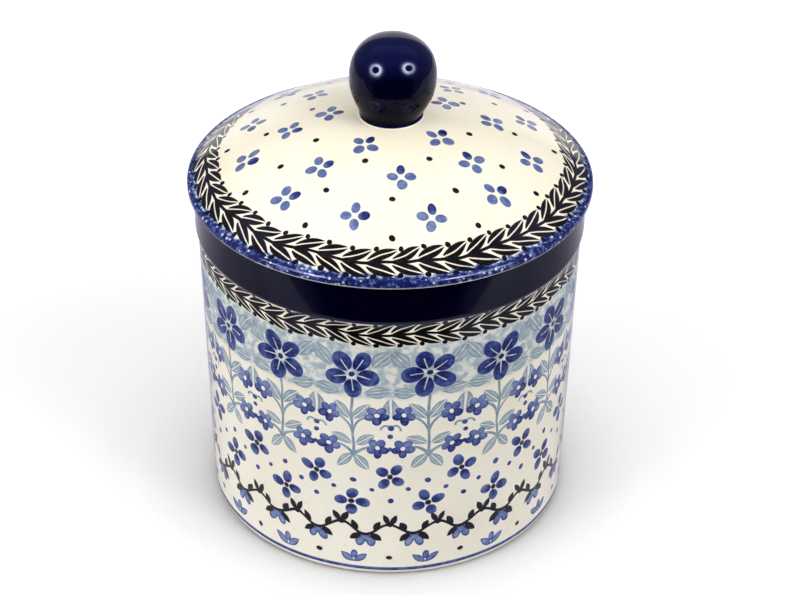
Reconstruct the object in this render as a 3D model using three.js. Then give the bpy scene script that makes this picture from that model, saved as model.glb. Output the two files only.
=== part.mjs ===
/*
 * Lidded stoneware jar, drawn as its three fired pieces: the jar body, the lid and the ball knob.
 *
 * Millimetres, +Z up. The origin is the centre of the foot ring, on the surface that the jar stands on.
 * Every piece is turned, as on a potter's wheel, so each one is a closed outline revolved about the axis.
 * An outline is written as places (radius, height), run with the clay on its left-hand side.
 */
import * as THREE from 'three';

// The jar body, outside
const bodyRadius = 64.7;
const bodyTaper = 2.1;
const jarHeight = 120;
const collarHeight = 17;
const collarSwell = 1;
const collarWidestShare = 0.26;
const collarDrawIn = 0.2;
const footTurnRadius = 2.6;
const footRingWidth = 5;
const footRecessDepth = 2.6;
const footRecessRounding = 1.2;

// The jar body, inside
const wallThickness = 5.2;
const floorThickness = 6.4;
const floorRounding = 9;
const lipThickness = 6.6;
const lipOuterRounding = 1.6;
const lipInnerRounding = 1.2;

// The lid
const lidOverhang = 2.1;
const lidEdgeRadius = 1.7;
const lidRise = 25;
const lidCrownThickness = 6;
const lidShoulderThickness = 5.4;
const crownReachShare = 0.5;
const crownDropShare = 0.13;
const flangeClearance = 1.4;
const flangeThickness = 4.6;
const flangeDepth = 8.5;
const flangeTipRounding = 1.3;
const flangeRootRounding = 1;
const knobSeatMargin = 0.7;

// The knob
const knobHeight = 28.1;
const knobRadius = 14.4;
const knobBaseRadius = 10.3;
const knobWidestShare = 0.5;
const knobBellyShare = 0.55;
const knobNeckShare = 0.25;
const knobCrownShare = 0.64;

// How finely the round forms are cut
const bodyFacets = 72;
const knobFacets = 48;
const roundSteps = 4;
const sweepSteps = 9;
const domeSteps = 13;

// Radii that several outlines share
const bodyFootRadius = bodyRadius - bodyTaper;
const collarRadius = bodyRadius + collarSwell;
const collarTopRadius = collarRadius - collarDrawIn;
const mouthRadius = collarTopRadius - lipThickness;

const at = (radius, height) => new THREE.Vector2(radius, height);

/** A rounded corner or an even bow: it leaves towards the corner and arrives from it. */
function bend(from, corner, to, steps) {
  return new THREE.QuadraticBezierCurve(from, corner, to).getPoints(steps);
}

/** A double curve, such as the swell of the collar or of the knob. */
function sweep(from, leave, arrive, to, steps) {
  return new THREE.CubicBezierCurve(from, leave, arrive, to).getPoints(steps);
}

/** Revolve an outline about the jar's upright axis. */
function turn(outline, facets) {
  return new THREE.LatheGeometry(outline, facets).rotateX(Math.PI / 2);
}

function glazedPiece(name, geometry, color, roughness) {
  const material = new THREE.MeshStandardMaterial({ color, roughness, metalness: 0 });
  const mesh = new THREE.Mesh(geometry, material);
  mesh.name = name;
  return mesh;
}

/** The hidden underside: a shallow recess inside the foot ring, then the flat ring and the turned edge. */
function footOutline() {
  const ringOuter = bodyFootRadius - footTurnRadius;
  const ringInner = ringOuter - footRingWidth;
  const recessEdge = ringInner - footRecessRounding;
  return [
    at(0, footRecessDepth),
    ...bend(
      at(recessEdge, footRecessDepth),
      at(ringInner, footRecessDepth),
      at(ringInner, footRecessDepth - footRecessRounding),
      roundSteps,
    ),
    at(ringInner, 0),
    ...bend(at(ringOuter, 0), at(bodyFootRadius, 0), at(bodyFootRadius, footTurnRadius), roundSteps),
  ];
}

/** The band round the mouth: it swells out of the wall, stays full and is rounded over at the lip. */
function collarOutline() {
  const collarBottom = jarHeight - collarHeight;
  const widest = collarBottom + collarHeight * collarWidestShare;
  const swellMiddle = (collarBottom + widest) / 2;
  const lipStart = jarHeight - lipOuterRounding;
  return [
    ...sweep(
      at(bodyRadius, collarBottom),
      at(bodyRadius, swellMiddle),
      at(collarRadius, swellMiddle),
      at(collarRadius, widest),
      sweepSteps,
    ),
    ...bend(
      at(collarTopRadius, lipStart),
      at(collarTopRadius, jarHeight),
      at(collarTopRadius - lipOuterRounding, jarHeight),
      roundSteps,
    ),
  ];
}

/** The inside, from the flat lip down the slightly tapered wall to the rounded floor. */
function insideOutline() {
  const floorHeight = footRecessDepth + floorThickness;
  const cavityFloorRadius = bodyFootRadius - wallThickness;
  return [
    ...bend(
      at(mouthRadius + lipInnerRounding, jarHeight),
      at(mouthRadius, jarHeight),
      at(mouthRadius, jarHeight - lipInnerRounding),
      roundSteps,
    ),
    at(mouthRadius, jarHeight - collarHeight),
    ...bend(
      at(cavityFloorRadius, floorHeight + floorRounding),
      at(cavityFloorRadius, floorHeight),
      at(cavityFloorRadius - floorRounding, floorHeight),
      roundSteps + 1,
    ),
    at(0, floorHeight),
  ];
}

function jarBody() {
  const outline = [...footOutline(), ...collarOutline(), ...insideOutline()];
  return glazedPiece('jar_body', turn(outline, bodyFacets), 0xe9e0cd, 0.12);
}

/** The lid's hollow side: a bowed ceiling, the flange that drops into the mouth, and the flat seat. */
function lidUndersideOutline() {
  const flangeRadius = mouthRadius - flangeClearance;
  const flangeInner = flangeRadius - flangeThickness;
  const flangeTip = jarHeight - flangeDepth;
  const crown = jarHeight + lidRise - lidCrownThickness;
  const springing = jarHeight + lidShoulderThickness;
  return [
    ...bend(at(0, crown), at(flangeInner / 2, crown), at(flangeInner, springing), domeSteps),
    ...bend(
      at(flangeInner, flangeTip + flangeTipRounding),
      at(flangeInner, flangeTip),
      at(flangeInner + flangeTipRounding, flangeTip),
      roundSteps,
    ),
    ...bend(
      at(flangeRadius - flangeTipRounding, flangeTip),
      at(flangeRadius, flangeTip),
      at(flangeRadius, flangeTip + flangeTipRounding),
      roundSteps,
    ),
    ...bend(
      at(flangeRadius, jarHeight - flangeRootRounding),
      at(flangeRadius, jarHeight),
      at(flangeRadius + flangeRootRounding, jarHeight),
      roundSteps,
    ),
  ];
}

/** The lid's outside: a thin rounded edge, the domed top and the flat land that the knob sits on. */
function lidTopOutline() {
  const lidRadius = collarRadius + lidOverhang;
  const edgeCentre = at(lidRadius - lidEdgeRadius, jarHeight + lidEdgeRadius);
  const edgeTop = at(edgeCentre.x, edgeCentre.y + lidEdgeRadius);
  const seat = at(knobBaseRadius + knobSeatMargin, jarHeight + lidRise);
  const reach = (edgeTop.x - seat.x) * crownReachShare;
  const drop = (seat.y - edgeTop.y) * crownDropShare;
  return [
    ...bend(
      at(edgeCentre.x, jarHeight),
      at(lidRadius, jarHeight),
      at(lidRadius, edgeCentre.y),
      roundSteps,
    ),
    ...bend(at(lidRadius, edgeCentre.y), at(lidRadius, edgeTop.y), edgeTop, roundSteps).slice(1),
    ...bend(edgeTop, at(seat.x + reach, seat.y - drop), seat, domeSteps).slice(1),
    at(0, seat.y),
  ];
}

function lid() {
  const outline = [...lidUndersideOutline(), ...lidTopOutline()];
  return glazedPiece('lid_dome', turn(outline, bodyFacets), 0xf6f0df, 0.1);
}

/** The ball knob: a flat foot luted to the lid, a drawn-in neck and a head a little fuller than a ball. */
function knobOutline() {
  const foot = jarHeight + lidRise;
  const top = foot + knobHeight;
  const widest = foot + knobHeight * knobWidestShare;
  const headHeight = top - widest;
  return [
    at(0, foot),
    ...sweep(
      at(knobBaseRadius, foot),
      at(knobBaseRadius, foot + (widest - foot) * knobNeckShare),
      at(knobRadius, widest - (widest - foot) * knobBellyShare),
      at(knobRadius, widest),
      sweepSteps,
    ),
    ...sweep(
      at(knobRadius, widest),
      at(knobRadius, widest + headHeight * knobCrownShare),
      at(knobRadius * knobCrownShare, top),
      at(0, top),
      sweepSteps,
    ).slice(1),
  ];
}

function knob() {
  return glazedPiece('lid_knob', turn(knobOutline(), knobFacets), 0x0b0b26, 0.08);
}

const jar = new THREE.Group();
jar.add(jarBody());
const liftedTogether = new THREE.Group();
liftedTogether.add(lid(), knob());
jar.add(liftedTogether);

export default jar;
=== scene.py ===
# %% [markdown]
# # A lidded stoneware jar, dressed for its photograph
#
# The imported model is the frame: the jar body, the domed lid and the ball knob at their real size, in metres.
# This lesson turns fine meshes for the three pieces, paints them with glazes made of shader nodes, and sets
# them on a pale studio floor. The frame is kept, hidden, and its boxes give the pieces their sizes.

import math

import bpy
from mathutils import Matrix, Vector
from mathutils.kdtree import KDTree


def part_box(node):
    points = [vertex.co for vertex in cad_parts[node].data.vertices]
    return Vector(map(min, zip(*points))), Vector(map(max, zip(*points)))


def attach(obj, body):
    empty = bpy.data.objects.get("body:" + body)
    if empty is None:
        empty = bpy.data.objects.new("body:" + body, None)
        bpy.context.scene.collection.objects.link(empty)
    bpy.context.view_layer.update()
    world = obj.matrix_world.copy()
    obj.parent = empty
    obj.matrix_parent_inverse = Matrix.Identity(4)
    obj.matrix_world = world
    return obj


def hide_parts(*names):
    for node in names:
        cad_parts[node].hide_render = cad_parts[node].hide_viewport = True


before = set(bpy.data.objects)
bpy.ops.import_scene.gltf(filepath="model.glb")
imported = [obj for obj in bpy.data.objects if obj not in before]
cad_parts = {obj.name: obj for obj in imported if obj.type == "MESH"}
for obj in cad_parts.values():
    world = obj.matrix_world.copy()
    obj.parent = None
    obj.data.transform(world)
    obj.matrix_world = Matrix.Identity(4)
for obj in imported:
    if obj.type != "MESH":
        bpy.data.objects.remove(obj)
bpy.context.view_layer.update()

# %% [markdown]
# ## Camera
#
# The jar is seen from about 34 degrees above, close enough for the wall to narrow towards the foot. A longer
# lens from further away would make it look parallel. Lens and distance were worked out from the ellipses of
# the lid, the collar and the foot. The jar's axis leans a little while the lid's ellipse doesn't, so the
# photograph was cropped from one side of a wider picture: a sideways lens shift repeats that.

# %% Camera
camera_distance = 0.770
camera_rise = math.radians(33.86)
aim = Vector((-0.0095, 0.0, 0.0722))

camera_data = bpy.data.cameras.new("studio_camera")
camera_data.lens = 100.65
camera_data.sensor_width = 36.0
camera_data.shift_x = 0.0447
camera = bpy.data.objects.new("studio_camera", camera_data)
scene = bpy.context.scene
scene.collection.objects.link(camera)
camera.location = aim + camera_distance * Vector((0.0, -math.cos(camera_rise), math.sin(camera_rise)))
camera.rotation_euler = (math.pi / 2 - camera_rise, 0.0, 0.0)
scene.camera = camera
scene.view_settings.view_transform = "Standard"
print("camera at", [round(value, 3) for value in camera.location], "m")

# %% [markdown]
# ## Node arithmetic
#
# A painted band is arithmetic on places: a petal is where a distance is small, a vine is where a height is
# close to a wave. Each step is one shader node. Joined by hand they would fill pages, so a small class lets
# plain Python signs add the nodes: `a + b` makes an Add node and links it.

# %% A number that changes over the surface
class Field:
    """One output of a shader node, to be used in sums."""

    def __init__(self, socket):
        self.socket = socket

    def __add__(self, other):
        return calculate("ADD", self, other)

    def __sub__(self, other):
        return calculate("SUBTRACT", self, other)

    def __rsub__(self, other):
        return calculate("SUBTRACT", other, self)

    def __mul__(self, other):
        return calculate("MULTIPLY", self, other)

    __radd__, __rmul__ = __add__, __mul__


def feed(slot, value):
    """Put a field, or a plain value, into the input of a node."""
    if isinstance(value, Field):
        slot.id_data.links.new(value.socket, slot)
    else:
        slot.default_value = value


def add_node(kind, feeds, **settings):
    """A new node beside the nodes that feed it. Its inputs are given by name or by number."""
    tree = next(value.socket.id_data for value in feeds.values() if isinstance(value, Field))
    node = tree.nodes.new(kind)
    for name, value in settings.items():
        setattr(node, name, value)
    for name, value in feeds.items():
        feed(node.inputs[name], value)
    return node


def calculate(operation, *values):
    """One Math node."""
    return Field(add_node("ShaderNodeMath", dict(enumerate(values)), operation=operation).outputs[0])


def size_of(value):
    return calculate("ABSOLUTE", value)


def smallest(first, *others):
    """The least of several fields: the union of their shapes."""
    for other in others:
        first = calculate("MINIMUM", first, other)
    return first


def largest(first, *others):
    """The greatest of several fields: what their shapes have in common."""
    for other in others:
        first = calculate("MAXIMUM", first, other)
    return first


# %% [markdown]
# ## Places and shapes
#
# A place is a pair of numbers in millimetres, carried by a vector. The Mapping node in its texture mode
# moves, turns and scales a place into a shape's own measure, so an oval takes one Mapping and one Length.
# Every shape is a field that is below zero inside and above zero outside, so shapes can be joined and cut.

# %% Shapes
def pair(across, up):
    """A place from its two distances."""
    return Field(add_node("ShaderNodeCombineXYZ", {"X": across, "Y": up}).outputs[0])


def along_axes(place):
    """The place's three distances, along X, Y and Z."""
    return [Field(output) for output in add_node("ShaderNodeSeparateXYZ", {0: place}).outputs]


def parts_of(place):
    return along_axes(place)[:2]


def seen_from(place, centre, radii=(1.0, 1.0), turn=0.0):
    """The place as measured from a centre, along a turned direction, in its own radii."""
    feeds = {"Vector": place, "Location": (*centre, 0), "Rotation": (0, 0, turn), "Scale": (*radii, 1)}
    return Field(add_node("ShaderNodeMapping", feeds, vector_type="TEXTURE").outputs[0])


def length_of(place):
    return Field(add_node("ShaderNodeVectorMath", {0: place}, operation="LENGTH").outputs["Value"])


def oval(place, centre, radii, turn=0.0):
    return length_of(seen_from(place, centre, radii, turn)) - 1.0


def leaf(place, base, tip, width, vein=0.0):
    """A leaf between two points, pointed at both, with an unpainted vein of that share of its width."""
    run, rise = tip[0] - base[0], tip[1] - base[1]
    centre = ((base[0] + tip[0]) / 2, (base[1] + tip[1]) / 2)
    half = math.hypot(run, rise) / 2
    along, beside = parts_of(seen_from(place, centre, (half, width / 2), math.atan2(rise, run)))
    beside = size_of(beside)
    blade = calculate("MULTIPLY_ADD", along, along, beside) - 1.0
    if vein:
        blade = largest(blade, vein - beside)
    return blade


def folded_petals(place, count, turn=0.0):
    """Fold the plane about its centre, so that one petal stands for all: the reach, and the folded place."""
    reach = length_of(place)
    x, y = parts_of(place)
    bearing = calculate("ARCTAN2", y, x)
    fold = calculate("PINGPONG", bearing + turn, math.pi / count)
    return reach, pair(reach * calculate("COSINE", fold), reach * calculate("SINE", fold))


def rise_between(value, low, high, low_result=0.0, high_result=1.0):
    """A smooth step from one result to another as the value passes from low to high."""
    feeds = {"Value": value, "From Min": low, "From Max": high, "To Min": low_result, "To Max": high_result}
    return Field(add_node("ShaderNodeMapRange", feeds, interpolation_type="SMOOTHSTEP").outputs["Result"])


def stamped(shape, softness):
    """How far a shape is painted, from 0 outside to 1 inside, over a soft edge."""
    return rise_between(shape, softness, -softness)


# %% [markdown]
# ## Stamps that go round
#
# A decorator turns the jar and presses the same sponge stamp at even steps. Dividing the angle into equal
# cells does the same. Each cell has a number, which gives every stamp its own small slip and its own load
# of colour, so that no two are quite alike.

# %% Cells and chance
def cells_round(bearing, count, radius, shift=0.0):
    """Divide the way round into equal cells: the distance from a cell's middle, and the cell's number."""
    turned = calculate("MULTIPLY_ADD", bearing, count / math.tau, shift)
    number = calculate("FLOOR", turned)
    across = (turned - number - 0.5) * (math.tau * radius / count)
    return across, calculate("WRAP", number, float(count), 0.0)


def channels(coloured):
    """The red, green and blue of a node's colour, as three fields."""
    split = add_node("ShaderNodeSeparateColor", {0: Field(coloured.outputs["Color"])})
    return [Field(output) for output in split.outputs]


def chances(number, seed):
    """Three random numbers from 0 to 1 for each stamp."""
    return channels(add_node("ShaderNodeTexWhiteNoise", {"W": number + seed}, noise_dimensions="1D"))


def turned_by(place, angle):
    feeds = {"Vector": place, "Angle": angle}
    return Field(add_node("ShaderNodeVectorRotate", feeds, rotation_type="Z_AXIS").outputs[0])


def noise(place, scale, detail=2.0, roughness=0.5):
    """A smooth random cloud over the surface, 0.5 on average; the scale is in clouds per millimetre."""
    feeds = {"Vector": place, "Scale": scale, "Detail": detail, "Roughness": roughness}
    return Field(add_node("ShaderNodeTexNoise", feeds).outputs["Fac"])


# %% [markdown]
# ## Glaze and inks
#
# The clay is fired cream, painted with blue, grey-blue and brown-black colours, and covered with one clear
# shiny glaze. The colours soak in like ink, so where they lie thin the cream shines through, and where
# they lie thick they deepen. One flat colour would look like a printed label, so a colour ramp per ink says
# how the cream is tinted as the load grows, and the tints are multiplied, as thin layers are.

# %% Inks
def srgb(red, green, blue):
    """A colour as read off a screen, made linear."""
    def linear(value):
        share = value / 255
        return share / 12.92 if share <= 0.04045 else ((share + 0.055) / 1.055) ** 2.4

    return (linear(red), linear(green), linear(blue), 1.0)


clear = srgb(255, 255, 255)
blue_ink = (
    (0.0, clear),
    (0.25, srgb(172, 190, 230)),
    (0.55, srgb(96, 116, 184)),
    (0.8, srgb(48, 62, 140)),
    (1.0, srgb(20, 27, 96)),
)
grey_ink = (
    (0.0, clear),
    (0.35, srgb(198, 214, 232)),
    (0.7, srgb(152, 174, 200)),
    (1.0, srgb(100, 126, 160)),
)
dark_ink = ((0.0, clear), (0.5, srgb(104, 98, 98)), (0.86, srgb(28, 25, 25)), (1.0, srgb(13, 10, 10)))
navy_glaze = ((0.0, clear), (0.4, srgb(70, 74, 140)), (1.0, srgb(1, 1, 25)))
print("stops of the inks:", [len(ink) for ink in (blue_ink, grey_ink, dark_ink, navy_glaze)])


def tint(load, ink):
    """The tint of an ink, from none to a full load."""
    node = add_node("ShaderNodeValToRGB", {"Fac": load})
    stops = node.color_ramp.elements
    while len(stops) < len(ink):
        stops.new(0.5)
    for stop, (position, colour) in zip(stops, ink):
        stop.position = position
        stop.color = colour
    return Field(node.outputs["Color"])


def mixed(share, first, second, blend="MIX"):
    """One colour turning into another."""
    feeds = {"Factor": share, "A": first, "B": second}
    return Field(add_node("ShaderNodeMix", feeds, data_type="RGBA", blend_type=blend).outputs["Result"])


def layered(below, above):
    """One see-through colour over another."""
    return mixed(1.0, below, above, blend="MULTIPLY")


# %% [markdown]
# ## Clear glaze over cream
#
# The clear glaze is the same everywhere: very smooth, with a faint slow waviness from the wheel that makes
# reflections wander, over cream that is never quite even and has a few tiny iron specks. The shader has a
# clear coat of its own, but its plain gloss with a little bump is simpler.

# %% Clear glaze over cream
lid_cream = (srgb(242, 234, 214), srgb(239, 229, 205))
jar_cream = (srgb(232, 227, 213), srgb(228, 222, 205))
speck_brown = srgb(150, 118, 86)
speck_cells = 0.16


def new_material(name):
    """A material, its shader, and the place on the piece in millimetres."""
    material = bpy.data.materials.new(name)
    material.use_nodes = True
    nodes = material.node_tree.nodes
    in_metres = Field(nodes.new("ShaderNodeTexCoord").outputs["Object"])
    place = add_node("ShaderNodeVectorMath", {0: in_metres, "Scale": 1000.0}, operation="SCALE")
    return material, nodes["Principled BSDF"], Field(place.outputs[0])


def cell_distance(place, scale):
    """How far a place lies from the middle of its random cell."""
    return Field(add_node("ShaderNodeTexVoronoi", {"Vector": place, "Scale": scale}).outputs["Distance"])


def cream_body(place, creams):
    """The fired cream with its slow change of warmth and its specks."""
    cloud = noise(place, 0.035, detail=3.0)
    base = mixed(rise_between(cloud, 0.35, 0.7), *creams)
    speck = rise_between(cell_distance(place, speck_cells), 0.075, 0.02, high_result=0.35)
    return mixed(speck, base, speck_brown)


def add_bump(shader, height, strength, distance):
    """Make the surface look uneven; the distance, in metres, is how high a full height stands."""
    bump = add_node("ShaderNodeBump", {"Strength": strength, "Distance": distance, "Height": height})
    feed(shader.inputs["Normal"], Field(bump.outputs["Normal"]))


def clear_glaze(shader, place, roughness=0.07, waviness=0.05, ior=1.35):
    """Smooth shiny glaze, a little blue in its reflections, with the faint unevenness of a turned piece."""
    shader.inputs["IOR"].default_value = ior
    shader.inputs["Specular Tint"].default_value = (0.7, 0.74, 1.0, 1.0)
    shader.inputs["Roughness"].default_value = roughness
    add_bump(shader, noise(place, 0.06, detail=1.0), waviness, 0.004)


# %% [markdown]
# ## Motifs
#
# The bands are made of a few folk motifs: a laurel garland, posies with a large blossom, forget-me-nots and
# leaves on curved stems, a four-petalled floret, a swag, a sprout and dots. A picture of them would blur from
# close by, while a formula stays sharp. Each function draws one motif in its own cell, in millimetres, and
# returns how strongly the ink is laid. A stamp is never pressed quite evenly, so leaves and petals hold more
# colour along their edges.

# %% Loads
def outlined(shape, softness, inside, edge):
    """A stamped shape whose edge holds more colour than its middle."""
    return stamped(shape, softness) * rise_between(shape, -0.5, -0.08, inside, edge)


def stroke(distance, width):
    """A brush line of that width, from the distance to its middle."""
    return size_of(distance) * (2 / width) - 1.0


# %% Laurel garland
def laurel(across, beside, spacing):
    """Overlapping pairs of leaves along a stem, one pair to a cell; beside is the distance from the stem."""
    beside = size_of(beside)
    here = pair(across, beside)
    before = pair(across + spacing, beside)
    blades = [
        leaf(cell, (-spacing * 0.6, 0.35), (spacing * 0.7, 3.9), 3.3, vein=0.12) for cell in (here, before)
    ]
    berry = oval(here, (-spacing * 0.17, 4.0), (0.9, 0.8))
    return stamped(smallest(*blades, stroke(beside, 0.9), berry), 0.1)


# %% Large blossom
def blossom(place):
    """Five round petals, each with a long pale vein, about a pale heart with a dot in it."""
    reach, petal = folded_petals(place, 5, math.pi / 2)
    out, beside = parts_of(petal)
    blade = oval(petal, (5.75, 0.0), (3.75, 3.05))
    vein = largest(stroke(beside, 0.42), out - 6.6)
    blade = largest(blade, -1.0 * vein)
    dot = reach - 1.05
    depth = rise_between(out + beside * 0.8, 2.4, 9.4, 1.14, 0.84)
    return stamped(smallest(blade, dot), 0.06) * depth


# %% Forget-me-not
def forget_me_not(place):
    """Five small round petals about a pale eye."""
    reach, petal = folded_petals(place, 5, math.pi / 2)
    blade = largest(oval(petal, (2.35, 0.0), (1.75, 1.5)), 0.85 - reach)
    x, y = parts_of(place)
    return outlined(blade, 0.1, 0.74, 0.94) * rise_between(x - y, -2.6, 3.4, 0.76, 1.16)


# %% Floret
def floret(place, size):
    """Four petals with gaps between them: how far out a place lies, and the petals' shape."""
    reach, petal = folded_petals(place, 4)
    return reach, oval(petal, (3.35 * size, 0.0), (2.2 * size, 1.75 * size))


# %% [markdown]
# ## Posies
#
# The belt under the garland is a row of posies, the same on both sides of a middle stem, so half of a posy is
# drawn, from the distance to its middle line. The stems are arcs of ovals: a line where a place lies just on
# an oval's edge, kept only where it leaves the stem.

# %% Posy
posy_count = 16
wall_radius = 64.0
posy_edge = math.pi * wall_radius / posy_count
print("a posy is", round(2 * posy_edge, 1), "mm wide")


def arc(place, centre, radii, width):
    """A brush line along the edge of an oval, above its centre and on the side of the stem."""
    x, y = parts_of(seen_from(place, centre, radii))
    edge = length_of(pair(x, y)) - 1.0
    return largest(stroke(edge, width / radii[1]), x, -1.0 * y)


def posy_leaves(half):
    return smallest(
        leaf(half, (3.8, -7.8), (posy_edge, -6.6), 4.6, vein=0.1),
        leaf(half, (6.8, 2.4), (posy_edge, 9.6), 5.4, vein=0.08),
        leaf(half, (0.2, -18.6), (6.2, -11.6), 3.9, vein=0.1),
        leaf(half, (0.4, -28.6), (7.6, -25.0), 3.6, vein=0.1),
        leaf(half, (0.2, -32.8), (5.4, -39.0), 3.7, vein=0.1),
        leaf(half, (posy_edge, -17.8), (posy_edge - 0.3, -9.6), 5.4, vein=0.1),
    )


def posy_stems(half):
    x, y = parts_of(half)
    middle = largest(stroke(x, 0.95), size_of(y + 21.0) - 12.4)
    upper = arc(half, (6.8, -25.4), (6.8, 8.2), 0.95)
    lower = arc(half, (7.0, -34.2), (7.0, 4.6), 0.95)
    curl = largest(stroke(length_of(seen_from(half, (10.9, -22.6))) - 1.5, 0.8), -22.8 - y)
    return smallest(middle, upper, lower, curl)


def posy(across, up, lot):
    """Blue and grey-blue loads of one posy."""
    here = pair(across, up)
    half = pair(size_of(across), up)
    flower = blossom(turned_by(here, lot[0] * 0.6 - 0.3)) * (0.88 + lot[1] * 0.12)
    small = largest(*(forget_me_not(seen_from(half, centre)) for centre in ((8.1, -16.7), (8.2, -30.2))))
    berry_places = ((-22.0, 1.0), (-25.2, 0.9), (-30.4, 0.9))
    berries = smallest(*(oval(half, (posy_edge, rise), (size, size)) for rise, size in berry_places))
    blue = largest(flower, small * (0.84 + lot[2] * 0.16), stamped(berries, 0.14) * 0.8)
    leaves = outlined(posy_leaves(half), 0.08, 0.46, 0.84)
    return blue, largest(leaves, stamped(posy_stems(half), 0.16) * 0.84)


# %% [markdown]
# ## The painted wall
#
# Read from the collar down: navy glaze that ends in a slightly uneven line, a laurel garland, the posies on
# a dabbed pale ground, a dotted lattice with florets, dark swags with blue bells, a row of sprouts and dots,
# and one thin blue line above the bare foot. The inks overlap, so one material lays all the belts rather
# than one material each. Heights are measured up from the foot. The decorator's hand wavers, so the way
# round and the height are both shifted a little by smooth noise before any cell is cut.

# %% Sizes on the wall, in millimetres
_, jar_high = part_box("jar_body")
lid_low, lid_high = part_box("lid_dome")
_, knob_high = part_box("lid_knob")

mouth_height = jar_high.z * 1000
navy_edge = mouth_height - 14.4
navy_waver = 0.7
garland_height, garland_pairs = navy_edge - 4.4, 56
posy_height = 85.4
ground_above, ground_reach, ground_fade = 1.2, 10.4, 1.6
upper_florets, lower_florets = 43.4, 31.6
swag_height, swag_count = 20.4, 24
sprout_height, sprout_count = 7.7, 16
line_height = 2.9

# The first number of each belt's own run of chances
posy_seed, bell_seed, sprout_seed = 3.0, 23.0, 31.0
upper_seed, lower_seed = 41.0, 53.0
print("heights, mm: mouth", round(mouth_height, 1), "navy edge", round(navy_edge, 1))


# %% A wavering hand
def waver(place, amount):
    """Two small shifts, in millimetres, that change smoothly over the surface."""
    cloud = noise(place, 0.08, detail=1.0)
    return [(channel - 0.5) * amount for channel in channels(cloud.socket.node)[:2]]


# %% The belts of the wall
def garland(bearing, beside, radius, pairs):
    """The laurel all the way round, swaying once in four leaf pairs."""
    across, _ = cells_round(bearing, pairs, radius)
    sway = calculate("SINE", bearing * (pairs / 4)) * 0.4
    return laurel(across, beside + sway, math.tau * radius / pairs)


def floret_row(bearing, height, row_height, shift, seed):
    """Blue florets with a dark heart."""
    across, number = cells_round(bearing, posy_count, wall_radius, shift)
    lot = chances(number, seed)
    place = pair(across + lot[1] * 1.2 - 0.6, height - row_height + lot[2] - 0.5)
    place = turned_by(place, lot[0] * 1.6)
    reach, petals = floret(place, 1.05)
    load = rise_between(reach, 1.0, 5.8, 0.98, 0.66)
    return stamped(petals, 0.08) * load, stamped(oval(place, (0.0, 0.0), (1.0, 1.0)), 0.14)


def lattice_dots(bearing, height):
    """Blue dots midway between the florets: on the slanting lines, and between two of a row."""
    across, _ = cells_round(bearing, posy_count, wall_radius, 0.5)
    half = pair(size_of(across), height)
    rise = upper_florets - lower_florets
    dots = (
        oval(half, (posy_edge / 2, upper_florets - rise / 2), (0.85, 0.85)),
        oval(half, (posy_edge, upper_florets - 2.0), (1.0, 1.0)),
        oval(half, (0.0, lower_florets + 1.4), (1.0, 1.0)),
    )
    return stamped(smallest(*dots), 0.16)


def swag_belt(bearing, height):
    """Hanging bows of dark stem with leaves, a knot of leaves where they meet, and a blue bell under each."""
    across, number = cells_round(bearing, swag_count, wall_radius)
    step = math.tau * wall_radius / swag_count
    up = height - swag_height
    bow = calculate("COSINE", across * (math.tau / step)) * -2.1
    half = pair(size_of(across), up)
    leaves = smallest(
        leaf(half, (1.2, -1.7), (5.2, -5.2), 2.5),
        leaf(half, (2.8, -0.9), (4.7, 3.3), 2.3),
        leaf(half, (step / 2 - 0.2, 1.8), (step / 2 - 2.5, 6.4), 2.2),
        oval(half, (step / 2, 2.2), (1.2, 1.2)),
    )
    bell = smallest(
        oval(half, (1.7, -5.3), (1.5, 2.3), 0.35),
        oval(half, (0.0, -3.7), (1.6, 1.6)),
    )
    lot = chances(number, bell_seed)
    dark = stamped(smallest(stroke(up - bow, 1.25), leaves), 0.12)
    return dark, outlined(bell, 0.1, 0.56, 0.86) * (0.86 + 0.14 * lot[0])


def foot_belt(bearing, height):
    """Blue sprouts with black dots between them."""
    across, number = cells_round(bearing, sprout_count, wall_radius)
    half = pair(size_of(across), height - sprout_height)
    sprout = smallest(
        leaf(half, (0.0, -2.4), (4.6, 1.5), 2.7),
        oval(half, (0.0, 1.1), (1.15, 1.9)),
    )
    dot = oval(half, (math.pi * wall_radius / sprout_count, 0.2), (1.05, 0.9))
    lot = chances(number, sprout_seed)
    return outlined(sprout, 0.1, 0.56, 0.86) * (0.86 + 0.14 * lot[0]), stamped(dot, 0.14)


def foot_line(place, height):
    """The thin blue line drawn on the turning wheel, darker along its lower edge."""
    away = height - line_height + noise(place, 0.03, detail=0.0) * 0.5 - 0.25
    return stamped(stroke(away, 1.3), 0.3) * rise_between(away, -0.45, 0.2, 0.92, 0.68)


# %% Pooling inks
thin_load, thick_load = 0.78, 1.08


def uneven_load(place):
    """How the ink pools and thins within a stamp."""
    fine = noise(place, 0.42, detail=4.0, roughness=0.62)
    return rise_between(fine, 0.3, 0.7, thin_load, thick_load)


def dark_over(colour, dark, load):
    """Brown-black ink is stronger than the blues, so it shows less of its unevenness."""
    evened = rise_between(load, thin_load, thick_load, 0.88, 1.0)
    return layered(colour, tint(dark * evened, dark_ink))


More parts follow.
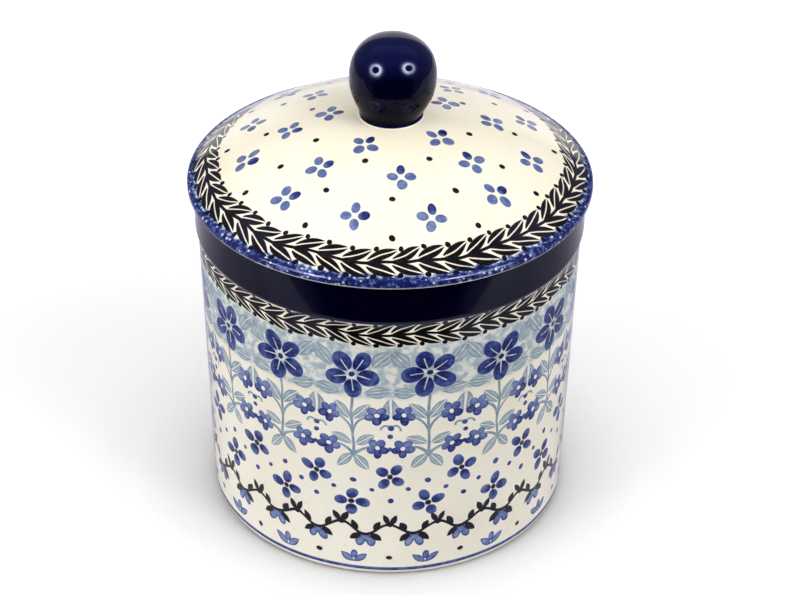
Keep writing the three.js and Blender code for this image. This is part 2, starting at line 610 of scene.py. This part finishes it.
# %% The wall's glaze
def painted_wall():
    material, shader, place = new_material("painted_wall")
    x, y, level = along_axes(place)
    around, raised = waver(place, 2.4)
    bearing = calculate("ARCTAN2", y, x) + around * (1 / wall_radius)
    height = level + raised
    load = uneven_load(place)
    dabs = rise_between(noise(place, 0.4, detail=3.0), 0.36, 0.6, 0.2, 1.0)
    from_ground = size_of(height - posy_height - ground_above) - ground_reach
    ground = dabs * stamped(from_ground, ground_fade) * 0.58
    across, number = cells_round(bearing, posy_count, wall_radius)
    blue, grey = posy(across, height - posy_height, chances(number, posy_seed))
    grey = largest(grey, ground) * rise_between(blue, 0.05, 0.3, 1.0, 0.0)
    colour = layered(cream_body(place, jar_cream), tint(grey * load, grey_ink))
    dark = garland(bearing, height - garland_height, wall_radius + 1.0, garland_pairs)
    for row, shift, seed in ((upper_florets, 0.5, upper_seed), (lower_florets, 0.0, lower_seed)):
        petals, heart = floret_row(bearing, height, row, shift, seed)
        blue = largest(blue, petals)
        dark = largest(dark, heart)
    blue = largest(blue, lattice_dots(bearing, height) * 0.82)
    swag, bells = swag_belt(bearing, height)
    sprouts, spots = foot_belt(bearing, height)
    blue = largest(blue, bells, sprouts, foot_line(place, level))
    dark = largest(dark, swag, spots)
    colour = layered(colour, tint(blue * load, blue_ink))
    colour = dark_over(colour, dark, load)
    edge = noise(place, 0.12, detail=3.0) * navy_waver + (navy_edge - navy_waver / 2)
    colour = layered(colour, tint(rise_between(level - edge, -0.22, 0.3), navy_glaze))
    feed(shader.inputs["Base Color"], colour)
    clear_glaze(shader, place)
    return material


# %% [markdown]
# ## The painted lid
#
# Out from the knob: a field of small blue florets and black dots in rings, a laurel garland as on the wall,
# and a rim dabbed with a blue sponge, which leaves pale specks. The wall's garland serves here too, with the
# distance from the axis in place of the height. Along the lower edge the blue is left off in a thin pale
# line: the glaze drawn thin on the edge, and a painted highlight there as well.

# %% Sizes on the lid, in millimetres
lid_radius = lid_high.x * 1000
seat_height = lid_high.z * 1000
lid_garland_radius, lid_garland_pairs = 61.4, 48
sponge_inner, sponge_cells = 65.0, 0.46

# Rings of florets and of dots: how far out, how many, and turned by what share of a cell
lid_rings = ((48.0, 12, 0.0), (33.5, 8, 0.4), (20.0, 5, 0.1))
lid_dots = ((41.2, 12, 0.5), (27.0, 8, 0.9), (54.2, 12, 0.5))
first_ring_seed, ring_seed_step = 61.0, 7
print("lid, mm: radius", round(lid_radius, 1), "knob's seat", round(seat_height, 1))


# %% Rings of the lid
def lid_ring(bearing, out, radius, count, shift, seed):
    """Small florets in one ring of the lid's field."""
    across, number = cells_round(bearing, count, radius, shift)
    lot = chances(number, seed)
    place = pair(across + lot[1] * 2.4 - 1.2, out - radius + lot[2] * 1.6 - 0.8)
    place = turned_by(place, lot[0] * 1.6)
    _, petals = floret(place, 0.86)
    return stamped(petals, 0.1) * rise_between(parts_of(place)[0], 0.6, 3.4, 0.6, 0.96)


def lid_dot_ring(bearing, out, radius, count, shift):
    across, _ = cells_round(bearing, count, radius, shift)
    return stamped(oval(pair(across, out - radius), (0.0, 0.0), (1.0, 1.0)), 0.14)


def sponged_rim(place, out, height):
    """Blue dabs that close up towards the edge, with pale specks and the pale line below."""
    ragged = noise(place, 0.5, detail=3.0) * 5.0 - 2.5
    dabs = rise_between(out + ragged - sponge_inner, -0.6, 1.3)
    speck = rise_between(cell_distance(place, sponge_cells), 0.14, 0.32, 0.2, 1.0)
    patchy = rise_between(noise(place, 0.6, detail=3.0), 0.34, 0.58, 0.66, 1.14)
    # The pale line: blue left off along the lower edge, where the glaze is thin, and a painted highlight of
    # that edge.
    line = rise_between(height - mouth_height, 0.7, 1.3, 0.1, 1.0)
    return dabs * speck * patchy * line


# %% The lid's glaze
def painted_lid():
    material, shader, place = new_material("painted_lid")
    x, y, height = along_axes(place)
    out = length_of(pair(x, y))
    around, outward = waver(place, 1.8)
    bearing = calculate("ARCTAN2", y, x) + around * 0.02
    laid_out = out + outward
    dark = garland(bearing, laid_out - lid_garland_radius, lid_garland_radius, lid_garland_pairs)
    blue = sponged_rim(place, out, height)
    for index, (radius, count, shift) in enumerate(lid_rings):
        seed = first_ring_seed + ring_seed_step * index
        blue = largest(blue, lid_ring(bearing, laid_out, radius, count, shift, seed))
    for radius, count, shift in lid_dots:
        dark = largest(dark, lid_dot_ring(bearing, laid_out, radius, count, shift))
    load = uneven_load(place)
    colour = layered(cream_body(place, lid_cream), tint(blue * load, blue_ink))
    feed(shader.inputs["Base Color"], dark_over(colour, dark, load))
    clear_glaze(shader, place, roughness=0.04)
    return material


# %% [markdown]
# ## Plain glazes and bare clay
#
# The inside has the clear glaze over bare cream. The knob has the same deep navy glaze as the collar: thinner
# and bluer on its crown, and duller low down. The foot ring and the seat under the lid are wiped bare before
# firing, so that they don't stick in the kiln. One large material could hold all this, but short ones are
# easier to change.

# %% Plain finishes
crown_from, crown_to = seat_height + 17.0, seat_height + 25.0
dull_below, bright_above = seat_height + 5.0, seat_height + 17.0


def plain_cream(name, creams):
    material, shader, place = new_material(name)
    feed(shader.inputs["Base Color"], cream_body(place, creams))
    clear_glaze(shader, place, roughness=0.09)
    return material


def navy_knob_glaze():
    material, shader, place = new_material("navy_knob_glaze")
    height = along_axes(place)[2]
    cloud = noise(place, 0.1) * 4.0 - 2.0
    thinned = rise_between(height + cloud, crown_from, crown_to)
    feed(shader.inputs["Base Color"], mixed(thinned, srgb(1, 1, 20), srgb(8, 10, 52)))
    clear_glaze(shader, place, roughness=0.035, waviness=0.03, ior=1.28)
    feed(shader.inputs["Specular IOR Level"], rise_between(height, dull_below, bright_above, 0.1, 0.5))
    return material


def pooled_navy():
    """Navy glaze that ran down and stopped, bluer where it lies thin."""
    material, shader, place = new_material("pooled_navy")
    feed(shader.inputs["Base Color"], mixed(noise(place, 0.5), srgb(10, 14, 72), srgb(36, 44, 132)))
    clear_glaze(shader, place, roughness=0.08)
    return material


def bare_clay():
    material, shader, place = new_material("bare_clay")
    grain = noise(place, 1.4, detail=4.0)
    feed(shader.inputs["Base Color"], mixed(grain, srgb(206, 178, 152), srgb(230, 208, 184)))
    shader.inputs["Roughness"].default_value = 0.72
    add_bump(shader, grain, 0.35, 0.0003)
    return material


# %% [markdown]
# ## Turning on the wheel
#
# All three pieces are turned: one half outline swept round an axis. Squeezed cylinders and spheres would
# never meet so closely. The outline is drawn by extruding a single point from place to place, and the Spin
# operator carries it round once. Its first and last copies meet, and so do the points on the axis, so
# doubles are merged and normals made outward.

# %% Turning tools
turn_steps = 192
point_size = 0.001
merge_distance = 0.00001
smooth_below = math.radians(40)
to_axis, to_rim, upward, downward = (-1, 0), (1, 0), (0, 1), (0, -1)


def bow(start, corner, end, steps):
    """Places along an even bow that leaves towards its corner and arrives from it."""
    start, corner, end = Vector(start), Vector(corner), Vector(end)
    shares = [step / steps for step in range(steps + 1)]
    return [(1 - t) ** 2 * start + 2 * t * (1 - t) * corner + t * t * end for t in shares]


def rounded(corner, radius, start_way, end_way, steps):
    """A rounded corner: the bow starts and ends that far from it, along the two ways."""
    ends = [[corner[axis] + radius * way[axis] for axis in (0, 1)] for way in (start_way, end_way)]
    return bow(ends[0], corner, ends[1], steps)


def swell(start, leave, arrive, end, steps):
    """Places along a double curve."""
    start, leave, arrive, end = Vector(start), Vector(leave), Vector(arrive), Vector(end)
    shares = [step / steps for step in range(steps + 1)]
    return [
        (1 - t) ** 3 * start + 3 * t * (1 - t) ** 2 * leave + 3 * t * t * (1 - t) * arrive + t**3 * end
        for t in shares
    ]


def turned_piece(name, outline):
    """Draw the half outline in millimetres (radius, height) and spin it into a closed piece, in metres."""
    first = outline[0] / 1000
    bpy.ops.mesh.primitive_plane_add(size=point_size, location=(first.x, 0.0, first.y))
    piece = bpy.context.object
    piece.name = name
    piece.data.name = name
    bpy.ops.object.mode_set(mode="EDIT")
    bpy.ops.mesh.select_all(action="SELECT")
    bpy.ops.mesh.merge(type="CENTER")
    for here, there in zip(outline, outline[1:]):
        step = (there - here) / 1000
        bpy.ops.mesh.extrude_region_move(TRANSFORM_OT_translate={"value": (step.x, 0.0, step.y)})
    bpy.ops.mesh.select_all(action="SELECT")
    bpy.ops.mesh.spin(steps=turn_steps, angle=math.tau, center=(0.0, 0.0, 0.0), axis=(0.0, 0.0, 1.0))
    bpy.ops.mesh.select_all(action="SELECT")
    bpy.ops.mesh.remove_doubles(threshold=merge_distance)
    bpy.ops.mesh.normals_make_consistent(inside=False)
    bpy.ops.object.mode_set(mode="OBJECT")
    bpy.ops.object.transform_apply()
    bpy.ops.object.shade_smooth_by_angle(angle=smooth_below)
    print(name, len(piece.data.polygons), "faces")
    return piece


def finish_faces(piece, materials, pick=None):
    """Give the piece its materials, and each face the one that its middle and normal pick, or the first."""
    for material in materials:
        piece.data.materials.append(material)
        print(piece.name, "wears", material.name, len(material.node_tree.nodes), "nodes")
    if pick:
        for face in piece.data.polygons:
            face.material_index = pick(face.center * 1000, face.normal)


# %% [markdown]
# ## Laying the glaze flat
#
# A model that is used elsewhere carries its paint as a flat picture. The painted wall is unrolled as two half
# turns, one above the other, and a round face becomes a disc. Distances are measured along the outline, so
# that nothing is squeezed where the clay turns over an edge, and the plain hidden faces get little room.

# %% Flat maps
side_margin, end_margin = 0.004, 0.01


def runs_of(outline):
    """How far each place lies along the outline."""
    runs = [0.0]
    for here, there in zip(outline, outline[1:]):
        runs.append(runs[-1] + (there - here).length)
    return runs


def disc(centre, radius, axis_run, edge_run):
    """A round face: the axis in the middle, the edge at that radius of the map."""
    def place(run, bearing, middle):
        out = radius * (run - axis_run) / (edge_run - axis_run)
        return centre[0] + out * math.cos(bearing), centre[1] + out * math.sin(bearing)

    return place


def half_turns(low, high, first_run, last_run):
    """A wall as two strips: the half turn at the front below, the one at the back above."""
    def place(run, bearing, middle):
        at_back = 1 if middle > 0 else 0
        across = bearing / math.pi + 1 - at_back
        up = (run - first_run) / (last_run - first_run)
        u = side_margin + (1 - 2 * side_margin) * across
        return u, low + (high - low) / 2 * (at_back + end_margin + (1 - 2 * end_margin) * up)

    return place


def lay_flat(piece, outline, regions):
    """Give each corner its place in the map. A region is the run where it ends and its layout."""
    runs = runs_of(outline)
    regions = regions(outline, runs)
    tree = KDTree(len(outline))
    for index, place in enumerate(outline):
        tree.insert((place.x, place.y, 0.0), index)
    tree.balance()
    flat = piece.data.uv_layers.new(name="OFBake")
    for face in piece.data.polygons:
        middle = math.atan2(face.center.y, face.center.x)
        corners = []
        for corner in face.loop_indices:
            x, y, height = piece.data.vertices[piece.data.loops[corner].vertex_index].co * 1000
            turn = (math.atan2(y, x) - middle + math.pi) % math.tau - math.pi
            corners.append((corner, runs[tree.find((math.hypot(x, y), height, 0.0))[1]], middle + turn))
        half_way = sum(run for _, run, _ in corners) / len(corners)
        layout = next(layout for end, layout in regions if half_way < end)
        for corner, run, bearing in corners:
            flat.data[corner].uv = layout(run, bearing, middle)
    print(piece.name, "laid flat in", len(regions), "regions, outline", round(runs[-1], 1), "mm")


# %% [markdown]
# ## The jar body
#
# The frame's own jar body could stay, but its facets would show in such a shiny glaze. The new outline has
# its sizes, with finer steps at the turned foot, the swell of the collar and the rounded lip. Overall height
# and radius come from the frame's box.

# %% Sizes of the jar body, in millimetres
collar_radius = jar_high.x * 1000
collar_bottom = mouth_height - 17.0
collar_widest = collar_bottom + 4.4
collar_top_radius = collar_radius - 0.2
body_radius = collar_radius - 1.0
foot_radius = body_radius - 2.1
foot_turn = 2.6
ring_outer = foot_radius - foot_turn
ring_inner = ring_outer - 5.0
recess_depth, recess_rounding = 2.6, 1.2
mouth_radius = collar_top_radius - 6.6
lip_outer_rounding, lip_inner_rounding = 1.6, 1.2
cavity_radius = foot_radius - 5.2
floor_height, floor_rounding = recess_depth + 6.4, 9.0
print("radii, mm: foot", round(foot_radius, 1), "body", round(body_radius, 1), "mouth", round(mouth_radius, 1))


# %% Outline of the jar body
def jar_outline():
    """From the hidden recess over the foot, the collar and the lip, and down inside to the floor."""
    middle = (collar_bottom + collar_widest) / 2
    outline = [Vector((0.0, recess_depth))]
    outline += rounded((ring_inner, recess_depth), recess_rounding, to_axis, downward, 6)
    outline += [Vector((ring_inner, 0.0))]
    outline += rounded((foot_radius, 0.0), foot_turn, to_axis, upward, 10)
    outline += swell(
        (body_radius, collar_bottom),
        (body_radius, middle),
        (collar_radius, middle),
        (collar_radius, collar_widest),
        16,
    )
    outline += rounded((collar_top_radius, mouth_height), lip_outer_rounding, downward, to_axis, 8)
    outline += rounded((mouth_radius, mouth_height), lip_inner_rounding, to_rim, downward, 6)
    outline += [Vector((mouth_radius, collar_bottom))]
    outline += rounded((cavity_radius, floor_height), floor_rounding, upward, to_axis, 12)
    outline += [Vector((0.0, floor_height))]
    return outline


# %% Jar body
painted, inside, bare = 0, 1, 2


def jar_finish(middle, normal):
    """Bare clay under the foot, navy and paint outside and over the lip, clear glaze inside."""
    out = math.hypot(middle.x, middle.y)
    if middle.z < 1.0:
        return bare
    in_the_recess = middle.z < recess_depth + 0.1 and out < ring_inner + 0.1
    return inside if in_the_recess or out < mouth_radius + 1.0 else painted


def jar_regions(outline, runs):
    """The underside, the painted outside up to the lip, and the inside."""
    foot = runs[outline.index(Vector((ring_outer, 0.0)))]
    lip = runs[outline.index(Vector((mouth_radius + lip_inner_rounding, mouth_height)))]
    end = runs[-1]
    return (
        (foot, disc((0.07, 0.07), 0.06, 0.0, foot)),
        (lip, half_turns(0.14, 1.0, foot, lip)),
        (end, disc((0.21, 0.07), 0.06, end, lip)),
    )


jar = turned_piece("glazed_jar", jar_outline())
lay_flat(jar, jar_outline(), jar_regions)
finish_faces(jar, (painted_wall(), plain_cream("cream_inside_jar", jar_cream), bare_clay()), jar_finish)
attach(jar, "jar")
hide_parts("jar_body")

# %% [markdown]
# ## The lid
#
# A thin rounded edge, a shallow dome and a flat land for the knob; underneath, the flange that drops into
# the mouth. A flattened ball could be the dome, but overhang, seat and flange have to fit the jar, so the
# lid is turned from an outline too. Its seat and the tip of the flange are bare clay.

# %% Sizes of the lid, in millimetres
edge_radius = 1.7
edge_top = mouth_height + 2 * edge_radius
shoulder = lid_radius - edge_radius
flange_outer = mouth_radius - 1.4
flange_inner = flange_outer - 4.6
flange_tip, tip_rounding = lid_low.z * 1000, 1.3
root_rounding = 1.0
crown, springing = seat_height - 6.0, mouth_height + 5.4
knob_base_radius = 10.3
land_radius = knob_base_radius + 0.7
crown_reach, crown_drop = 0.5, 0.13
print("flange, mm:", round(flange_inner, 1), "to", round(flange_outer, 1), "down to", round(flange_tip, 1))


# %% Outline of the lid
def lid_outline():
    """The bowed hollow, the flange, the seat and the edge, and over the top to the knob's land."""
    outline = bow((0.0, crown), (flange_inner / 2, crown), (flange_inner, springing), 28)
    outline += rounded((flange_inner, flange_tip), tip_rounding, upward, to_rim, 6)
    outline += rounded((flange_outer, flange_tip), tip_rounding, to_axis, upward, 6)
    outline += rounded((flange_outer, mouth_height), root_rounding, downward, to_rim, 6)
    outline += rounded((lid_radius, mouth_height), edge_radius, to_axis, upward, 10)
    outline += rounded((lid_radius, edge_top), edge_radius, downward, to_axis, 10)
    reach = (shoulder - land_radius) * crown_reach
    drop = (seat_height - edge_top) * crown_drop
    top = (land_radius + reach, seat_height - drop)
    outline += bow((shoulder, edge_top), top, (land_radius, seat_height), 40)
    outline += [Vector((0.0, seat_height))]
    return outline


# %% Lid
def lid_finish(middle, normal):
    """Bare clay on the seat and the flange's tip, clear glaze in the hollow, paint over the rest."""
    out = math.hypot(middle.x, middle.y)
    if normal.z < -0.6 and flange_inner < out < lid_radius - 1.2:
        return bare
    in_the_hollow = out < flange_outer + 1.1 and normal.z < 0.2 and middle.z < crown + 0.1
    return inside if in_the_hollow else painted


def lid_regions(outline, runs):
    """The hollow side in a corner of the map, and the painted top over the rest."""
    edge = runs[outline.index(Vector((shoulder, mouth_height)))]
    end = runs[-1]
    return (edge, disc((0.085, 0.085), 0.08, 0.0, edge)), (end, disc((0.5, 0.5), 0.495, end, edge))


lid = turned_piece("glazed_lid", lid_outline())
lay_flat(lid, lid_outline(), lid_regions)
finish_faces(lid, (painted_lid(), plain_cream("cream_inside_lid", lid_cream), bare_clay()), lid_finish)
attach(lid, "lid")
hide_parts("lid_dome")

# %% [markdown]
# ## The knob
#
# A head a little fuller than a ball, drawn in to a neck, made apart and luted on by hand: in the photograph
# it leans a little to the right. A squeezed sphere would come close, but the frame's two double curves are
# its profile, so they are used again with more steps. A stub below the seat goes into the lid, so that the
# leaning foot leaves no gap.

# %% Knob
knob_radius = knob_high.x * 1000
knob_top = knob_high.z * 1000
neck_share, belly_share, crown_share = 0.25, 0.55, 0.64
stub_depth, stub_margin = 1.4, 0.6
knob_steps = 24
knob_lean = math.radians(3.3)
knob_seat = Vector((-0.0001, 0.0, seat_height / 1000))


def knob_outline():
    widest = (seat_height + knob_top) / 2
    half = widest - seat_height
    stub = seat_height - stub_depth
    outline = [Vector((0.0, stub)), Vector((knob_base_radius - stub_margin, stub))]
    outline += swell(
        (knob_base_radius, seat_height),
        (knob_base_radius, seat_height + half * neck_share),
        (knob_radius, widest - half * belly_share),
        (knob_radius, widest),
        knob_steps,
    )
    outline += swell(
        (knob_radius, widest),
        (knob_radius, widest + half * crown_share),
        (knob_radius * crown_share, knob_top),
        (0.0, knob_top),
        knob_steps,
    )[1:]
    return outline


knob = turned_piece("glazed_knob", knob_outline())
knob.rotation_euler = (0.0, knob_lean, 0.0)
foot = Vector((0.0, 0.0, seat_height / 1000))
knob.location = knob_seat - knob.rotation_euler.to_matrix() @ foot
bpy.ops.object.transform_apply()
finish_faces(knob, (navy_knob_glaze(),))
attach(knob, "lid")
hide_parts("lid_knob")

# %% [markdown]
# ## Glaze round the knob's foot
#
# The navy glaze ends in a thin bluer roll at the foot, and the lid's clear glaze stands up against it in a
# small pale bead that catches the lamps. Bump could hint at them, but only real rings stand out from the
# side. Both are flattened tori, half sunk in the lid.

# %% Rings at the foot
ring_seat = Vector((0.0003, 0.0, seat_height / 1000))
ring_flatness = 0.8
roll_inset, roll_thickness = 0.15, 0.5
bead_outset, bead_thickness = 0.35, 0.32


def foot_ring(name, radius, thickness, material):
    bpy.ops.mesh.primitive_torus_add(
        location=ring_seat,
        major_radius=radius / 1000,
        minor_radius=thickness / 1000,
        major_segments=144,
        minor_segments=16,
    )
    ring = bpy.context.object
    ring.name = name
    ring.scale = (1.0, 1.0, ring_flatness)
    bpy.ops.object.transform_apply()
    bpy.ops.object.shade_smooth()
    finish_faces(ring, (material,))
    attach(ring, "lid")
    return ring


navy_roll = foot_ring("knob_glaze_roll", knob_base_radius - roll_inset, roll_thickness, pooled_navy())
bead_glaze = plain_cream("cream_bead", lid_cream)
cream_bead = foot_ring("lid_glaze_bead", knob_base_radius + bead_outset, bead_thickness, bead_glaze)

# %% [markdown]
# ## Studio floor
#
# The jar stands on a white sheet that ends in front of it. More light would make the sheet white, but it
# would bleach the jar too, so for the camera the sheet glows by itself. The glow carries a painted shadow:
# less where the foot meets the sheet, which Ambient Occlusion finds, and less near the jar than far out. The
# glaze mirrors the sheet, whose colour in reflections alone is a painted brightness with a blue tint: bright
# at the foot and far out, brighter behind than beside, and dark where it ends, which makes the dark middle of
# the collar.

# %% Floor
white_light = (1.0, 1.0, 1.0, 1.0)
floor_back, floor_front, floor_side = 0.9, -0.165, 0.9
bpy.ops.mesh.primitive_plane_add(size=1.0, location=(0.0, (floor_back + floor_front) / 2, 0.0))
floor = bpy.context.object
floor.name = "studio_floor"
floor.scale = (2 * floor_side, floor_back - floor_front, 1.0)
bpy.ops.object.transform_apply()

# %% Paper
white_sheet, more_when_seen = 0.3, 0.15
paper = bpy.data.materials.new("studio_paper")
paper.use_nodes = True
paper_nodes = paper.node_tree.nodes
paper_shader = paper_nodes["Principled BSDF"]
paper_shader.inputs["Roughness"].default_value = 1.0
paper_shader.inputs["Specular IOR Level"].default_value = 0.0
paper_rays = paper_nodes.new("ShaderNodeLightPath")
seen = Field(paper_rays.outputs["Is Camera Ray"])
mirrored = Field(paper_rays.outputs["Is Glossy Ray"])
across, behind, _ = along_axes(Field(paper_nodes.new("ShaderNodeTexCoord").outputs["Object"]))
away = length_of(pair(across, behind))
# Painted reflection: for glossy rays alone the sheet's colour is made brighter far out, behind the jar and at
# its foot.
painted_reflection_far_out = rise_between(away, 0.12, 0.34, 0.14, 0.58)
painted_reflection_at_foot = rise_between(away, 0.18, 0.13, 0.0, 0.36)
beside = rise_between(behind, -0.07, -0.125, -0.17, 0.0) + rise_between(behind, 0.02, 0.16, 0.0, 0.44)
level = white_sheet + seen * more_when_seen + mirrored * (painted_reflection_far_out + beside + painted_reflection_at_foot)
# Painted reflection colour: in the glaze the sheet is a little blue.
sheet = mixed(mirrored, white_light, (0.84, 0.82, 1.0, 1.0))
feed(paper_shader.inputs["Base Color"], mixed(level, (0.0, 0.0, 0.0, 1.0), sheet))

# %% Glow of the paper, with its painted shadow
openness = paper_nodes.new("ShaderNodeAmbientOcclusion")
openness.inputs["Distance"].default_value = 0.06
openness.samples = 16
# Painted contact shadow: the camera's glow is darkened where Ambient Occlusion finds the foot close by.
shade = ((0.5, 0.0), (0.553, 0.3), (0.605, 0.46), (0.71, 0.69), (0.85, 0.88), (1.0, 1.0))
shade_stops = [(share, (grey, grey, grey, 1.0)) for share, grey in shade]
white = tint(Field(openness.outputs["AO"]), shade_stops)
paper_shader.inputs["Emission Color"].default_value = white_light
# Painted shade round the jar: the glow is weaker within about 0.3 m of the jar's axis.
feed(paper_shader.inputs["Emission Strength"], seen * white * rise_between(away, 0.1, 0.3, 0.575, 0.785))
floor.data.materials.append(paper)
print("sheet with", len(paper_nodes), "nodes")

# %% [markdown]
# ## Tent
#
# Round the jar is a bright tent: its back wall shines white in the glaze, its ceiling is dim, and the front,
# where the camera stands, is dark. Boards could be built, but the world's shader knows the direction of a
# ray, and that is enough. Each part is set once as a light and once for the glaze, and the camera sees
# plain white.

# %% Tent
world = bpy.data.worlds.new("studio_tent")
scene.world = world
world.use_nodes = True
tent = world.node_tree
background = tent.nodes["Background"]
side, back, up = along_axes(Field(tent.nodes.new("ShaderNodeTexCoord").outputs["Generated"]))
arch = length_of(pair(side * 2.0, largest(up + 0.2, 0.0) * 1.45))
wall = rise_between(arch, 1.06, 0.94) * rise_between(back, 0.0, 0.2)
ceiling = rise_between(up + size_of(side) * 0.3, 0.78, 0.86)
room = rise_between(back, -0.7, -0.5)
tent_rays = tent.nodes.new("ShaderNodeLightPath")
in_the_glaze = Field(tent_rays.outputs["Is Glossy Ray"])
far = rise_between(back, 0.02, 0.2, -0.7, 0.25)
flank = rise_between(size_of(side), 0.5, 0.9) * rise_between(up, 0.1, 0.5, 0.6, 0.0)
glow = largest(
    wall * (in_the_glaze * 0.15 + 1.1),
    ceiling * (in_the_glaze * (far + 0.06) + 0.64),
    room * (in_the_glaze * (0.35 - flank) + flank + 0.06),
)
blue_room = in_the_glaze * rise_between(wall, 0.2, 0.8, 1.0, 0.0)
feed(background.inputs["Color"], mixed(blue_room, white_light, (0.55, 0.62, 1.0, 1.0)))
feed(background.inputs["Strength"], largest(glow, Field(tent_rays.outputs["Is Camera Ray"])))
print("tent of", len(tent.nodes), "nodes")

# %% [markdown]
# ## Umbrella lamps
#
# Two round umbrellas stand one on each side of the camera. They are brightest round the lamp head in their
# middle, which is dark itself. One lamp could light the clay and shine in the glaze, but the two are easier
# to set apart, so each umbrella is two lamps: a fill, which the glaze doesn't mirror, and a glint just in
# front of it, which is only mirrored.

# %% Umbrella cloth
umbrella_distance = 2.2
umbrella_size = 2.34
glint_in_front = 0.04
lamp_aim = Vector((0.0, 0.0, 0.08))


def umbrella_cloth(data, lit_side):
    """Bright round the dark lamp head, brighter on one side, and fading out towards the rim."""
    data.use_nodes = True
    emission = data.node_tree.nodes["Emission"]
    geometry = data.node_tree.nodes.new("ShaderNodeNewGeometry")
    u, v = parts_of(seen_from(Field(geometry.outputs["Parametric"]), (0.5, 0.5), (0.5, 0.5)))
    out = length_of(pair(u, v))
    head = rise_between(out, 0.28, 0.34)
    spread = rise_between(out, 0.38, 0.7, 1.0, 0.05) * rise_between(out, 0.6, 1.0, 1.0, 0.0)
    one_side = rise_between(u * lit_side + v * 0.5, -0.3, 0.3, 0.5, 1.0)
    feed(emission.inputs["Strength"], head * spread * one_side)


# %% Umbrella lamps
def umbrella(name, azimuth, rise, power, lit_side, glint=False):
    """A round area lamp aimed at the jar: degrees round from the camera, degrees up, and watts."""
    data = bpy.data.lights.new(name, "AREA")
    data.shape = "DISK"
    data.size = umbrella_size
    data.energy = power
    umbrella_cloth(data, lit_side)
    lamp = bpy.data.objects.new(name, data)
    scene.collection.objects.link(lamp)
    a, e = math.radians(azimuth), math.radians(rise)
    way = Vector((math.sin(a) * math.cos(e), -math.cos(a) * math.cos(e), math.sin(e)))
    lamp.location = lamp_aim + (umbrella_distance - glint_in_front * glint) * way
    lamp.rotation_euler = way.to_track_quat("Z", "Y").to_euler()
    lamp.visible_diffuse = not glint
    lamp.visible_glossy = glint
    print(name, [round(value, 2) for value in lamp.location], "m", power, "W")


for name, lit_side, fill, glint in (
    ("umbrella_left", 1.0, (-61, 20, 294.0), (-54, 28, 740.0)),
    ("umbrella_right", -1.0, (58, 32, 268.0), (51, 36, 670.0)),
):
    umbrella(name, *fill, lit_side)
    umbrella(name + "_glint", *glint, lit_side, glint=True)
